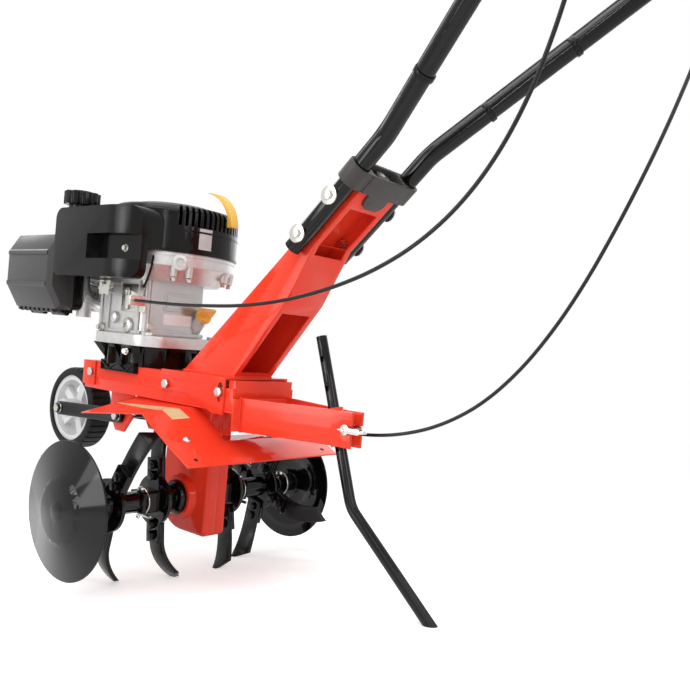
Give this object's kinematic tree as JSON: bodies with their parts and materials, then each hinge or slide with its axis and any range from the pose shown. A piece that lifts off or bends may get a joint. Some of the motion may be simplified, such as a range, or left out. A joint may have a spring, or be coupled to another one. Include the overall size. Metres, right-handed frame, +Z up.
{
  "type": "garden tiller",
  "caption": "Front-tine garden tiller with a vertical-shaft petrol engine, worm gearcase, tine hubs with guard discs, lifting front wheel, drag stake and twin-tube handle.",
  "frame": {"origin": "on the ground under the middle of the machine's length and width", "axes": "+X back to the grips, +Y to the operator's right, +Z up"},
  "size_m": [1.368, 0.485, 0.9039],
  "materials": {
    "orange_paint": "gloss",
    "black_paint": "gloss",
    "zinc": "satin",
    "steel": "satin",
    "bronze": "satin",
    "cast_iron": "matte",
    "black_plastic": "satin",
    "grey_plastic": "satin",
    "black_casting": "satin",
    "alloy": "cast",
    "rubber": "matte",
    "tyre": "matte",
    "white_plastic": "gloss",
    "yellow_plastic": "gloss"
  },
  "bodies": {
    "chassis": {"frame_rails": "orange_paint", "belt_pan": "orange_paint", "drawbar": "orange_paint", "tine_shield": "orange_paint", "gearcase_left": "orange_paint", "gearcase_right": "orange_paint", "axle_bushes": "steel", "frame_bolts": "zinc", "wheel_bracket": "orange_paint", "engine_adapter": "black_casting", "crankcase": "alloy", "engine_bolts": "zinc", "cylinder": "alloy", "spark_plug": "rubber", "muffler": "steel", "blower_housing": "black_plastic", "fuel_tank": "black_plastic", "fuel_hose": "rubber", "air_filter_base": "black_plastic", "carburettor": "alloy", "governor_bracket": "zinc", "drive_belt": "rubber", "throttle_cable": "rubber", "clutch_cable": "rubber"},
    "crank": {"crankshaft": "steel", "flywheel": "cast_iron", "drive_pulley": "steel"},
    "rotor": {"tine_axle": "steel", "worm_wheel": "bronze", "inner_hubs": "black_paint", "outer_hubs": "black_paint", "hub_pins": "zinc", "tine_bolts": "zinc", "inner_tines_left": "black_paint", "inner_tines_right": "black_paint", "outer_tines_left": "black_paint", "outer_tines_right": "black_paint", "side_disc_left": "black_paint", "side_disc_right": "black_paint"},
    "worm": {"worm_shaft": "steel", "driven_pulley": "steel"},
    "tensioner": {"idler": "black_plastic"},
    "wheel_fork": {"wheel_arm": "black_paint"},
    "wheel": {"wheel_rim": "white_plastic", "wheel_tyre": "tyre"},
    "drag_stake": {"stake": "black_paint"},
    "handle": {"column": "orange_paint", "handle_tube_left": "black_paint", "handle_tube_right": "black_paint", "yoke_cap": "black_plastic", "handle_bolts": "zinc", "grips": "rubber", "tube_cables": "rubber"},
    "clutch": {"clutch_lever": "black_paint"},
    "throttle": {"throttle_lever": "black_paint"},
    "governor": {"governor_arm": "zinc"},
    "recoil": {"recoil_grip": "yellow_plastic"},
    "tank_cap": {"fuel_cap": "black_plastic"},
    "oil_cap": {"dipstick": "yellow_plastic"},
    "filter_lid": {"air_filter_cover": "grey_plastic"}
  },
  "joints": [
    {"name": "crank_spin", "type": "hinge", "parent": "chassis", "child": "crank", "pos_m": [-0.36752, 0, 0.43574], "axis": [0.1045, 0, 0.9945], "continuous": true},
    {"name": "rotor_spin", "type": "hinge", "parent": "chassis", "child": "rotor", "pos_m": [-0.27158, 0, 0.124], "axis": [0, 1, 0], "continuous": true},
    {"name": "worm_spin", "type": "hinge", "parent": "chassis", "child": "worm", "pos_m": [-0.22384, 0, 0.11898], "axis": [0.1045, 0, 0.9945], "continuous": true},
    {"name": "tensioner_swing", "type": "hinge", "parent": "chassis", "child": "tensioner", "pos_m": [-0.27025, 0, 0.28977], "axis": [0.1045, 0, 0.9945], "range_deg": [0, 20]},
    {"name": "wheel_fork_swing", "type": "hinge", "parent": "chassis", "child": "wheel_fork", "pos_m": [-0.42109, 0, 0.25133], "axis": [0, -1, 0], "range_deg": [0, 70]},
    {"name": "wheel_spin", "type": "hinge", "parent": "wheel_fork", "child": "wheel", "pos_m": [-0.60701, 0, 0.26182], "axis": [0, 1, 0], "continuous": true},
    {"name": "stake_slide", "type": "slide", "parent": "chassis", "child": "drag_stake", "axis": [-0.2291, 0, 0.9734], "range_m": [-0.086, 0.043]},
    {"name": "handle_tilt", "type": "hinge", "parent": "chassis", "child": "handle", "pos_m": [-0.25643, 0, 0.30642], "axis": [0, -1, 0], "range_deg": [-4.5, 4.5], "deforming": ["throttle_cable", "clutch_cable"]},
    {"name": "clutch_pull", "type": "hinge", "parent": "handle", "child": "clutch", "pos_m": [0.51312, 0.1876, 0.83185], "axis": [0, -1, 0], "range_deg": [0, 7], "stiffness_Nm_per_rad": 3, "springref_deg": -11.46},
    {"name": "throttle_swing", "type": "hinge", "parent": "handle", "child": "throttle", "pos_m": [0.51312, -0.1876, 0.83185], "axis": [0, -1, 0], "range_deg": [-18, 18]},
    {"name": "governor_swing", "type": "hinge", "parent": "chassis", "child": "governor", "pos_m": [-0.35486, -0.068, 0.46055], "axis": [0, -1, 0], "range_deg": [-18, 18]},
    {"name": "recoil_pull", "type": "slide", "parent": "chassis", "child": "recoil", "axis": [0.3797, 0.5498, 0.744], "range_m": [0, 0.4], "stiffness_N_per_m": 25, "springref_m": -0.2},
    {"name": "tank_cap_turn", "type": "hinge", "parent": "chassis", "child": "tank_cap", "pos_m": [-0.4446, -0.106, 0.6017], "axis": [0.1045, 0, 0.9945], "range_deg": [0, 90]},
    {"name": "oil_cap_turn", "type": "hinge", "parent": "chassis", "child": "oil_cap", "pos_m": [-0.32732, 0.042, 0.39732], "axis": [0.7431, 0, 0.6691], "range_deg": [0, 90]},
    {"name": "filter_lid_swing", "type": "hinge", "parent": "chassis", "child": "filter_lid", "pos_m": [-0.651, -0.0844, 0.44602], "axis": [0.9945, 0, -0.1045], "range_deg": [0, 70]}
  ],
  "couplings": [
    {"joint": "worm_spin", "follows": "rotor_spin", "ratio": 16},
    {"joint": "tensioner_swing", "follows": "clutch_pull", "ratio": 2.85},
    {"joint": "governor_swing", "follows": "throttle_swing", "ratio": 0.9}
  ]
}
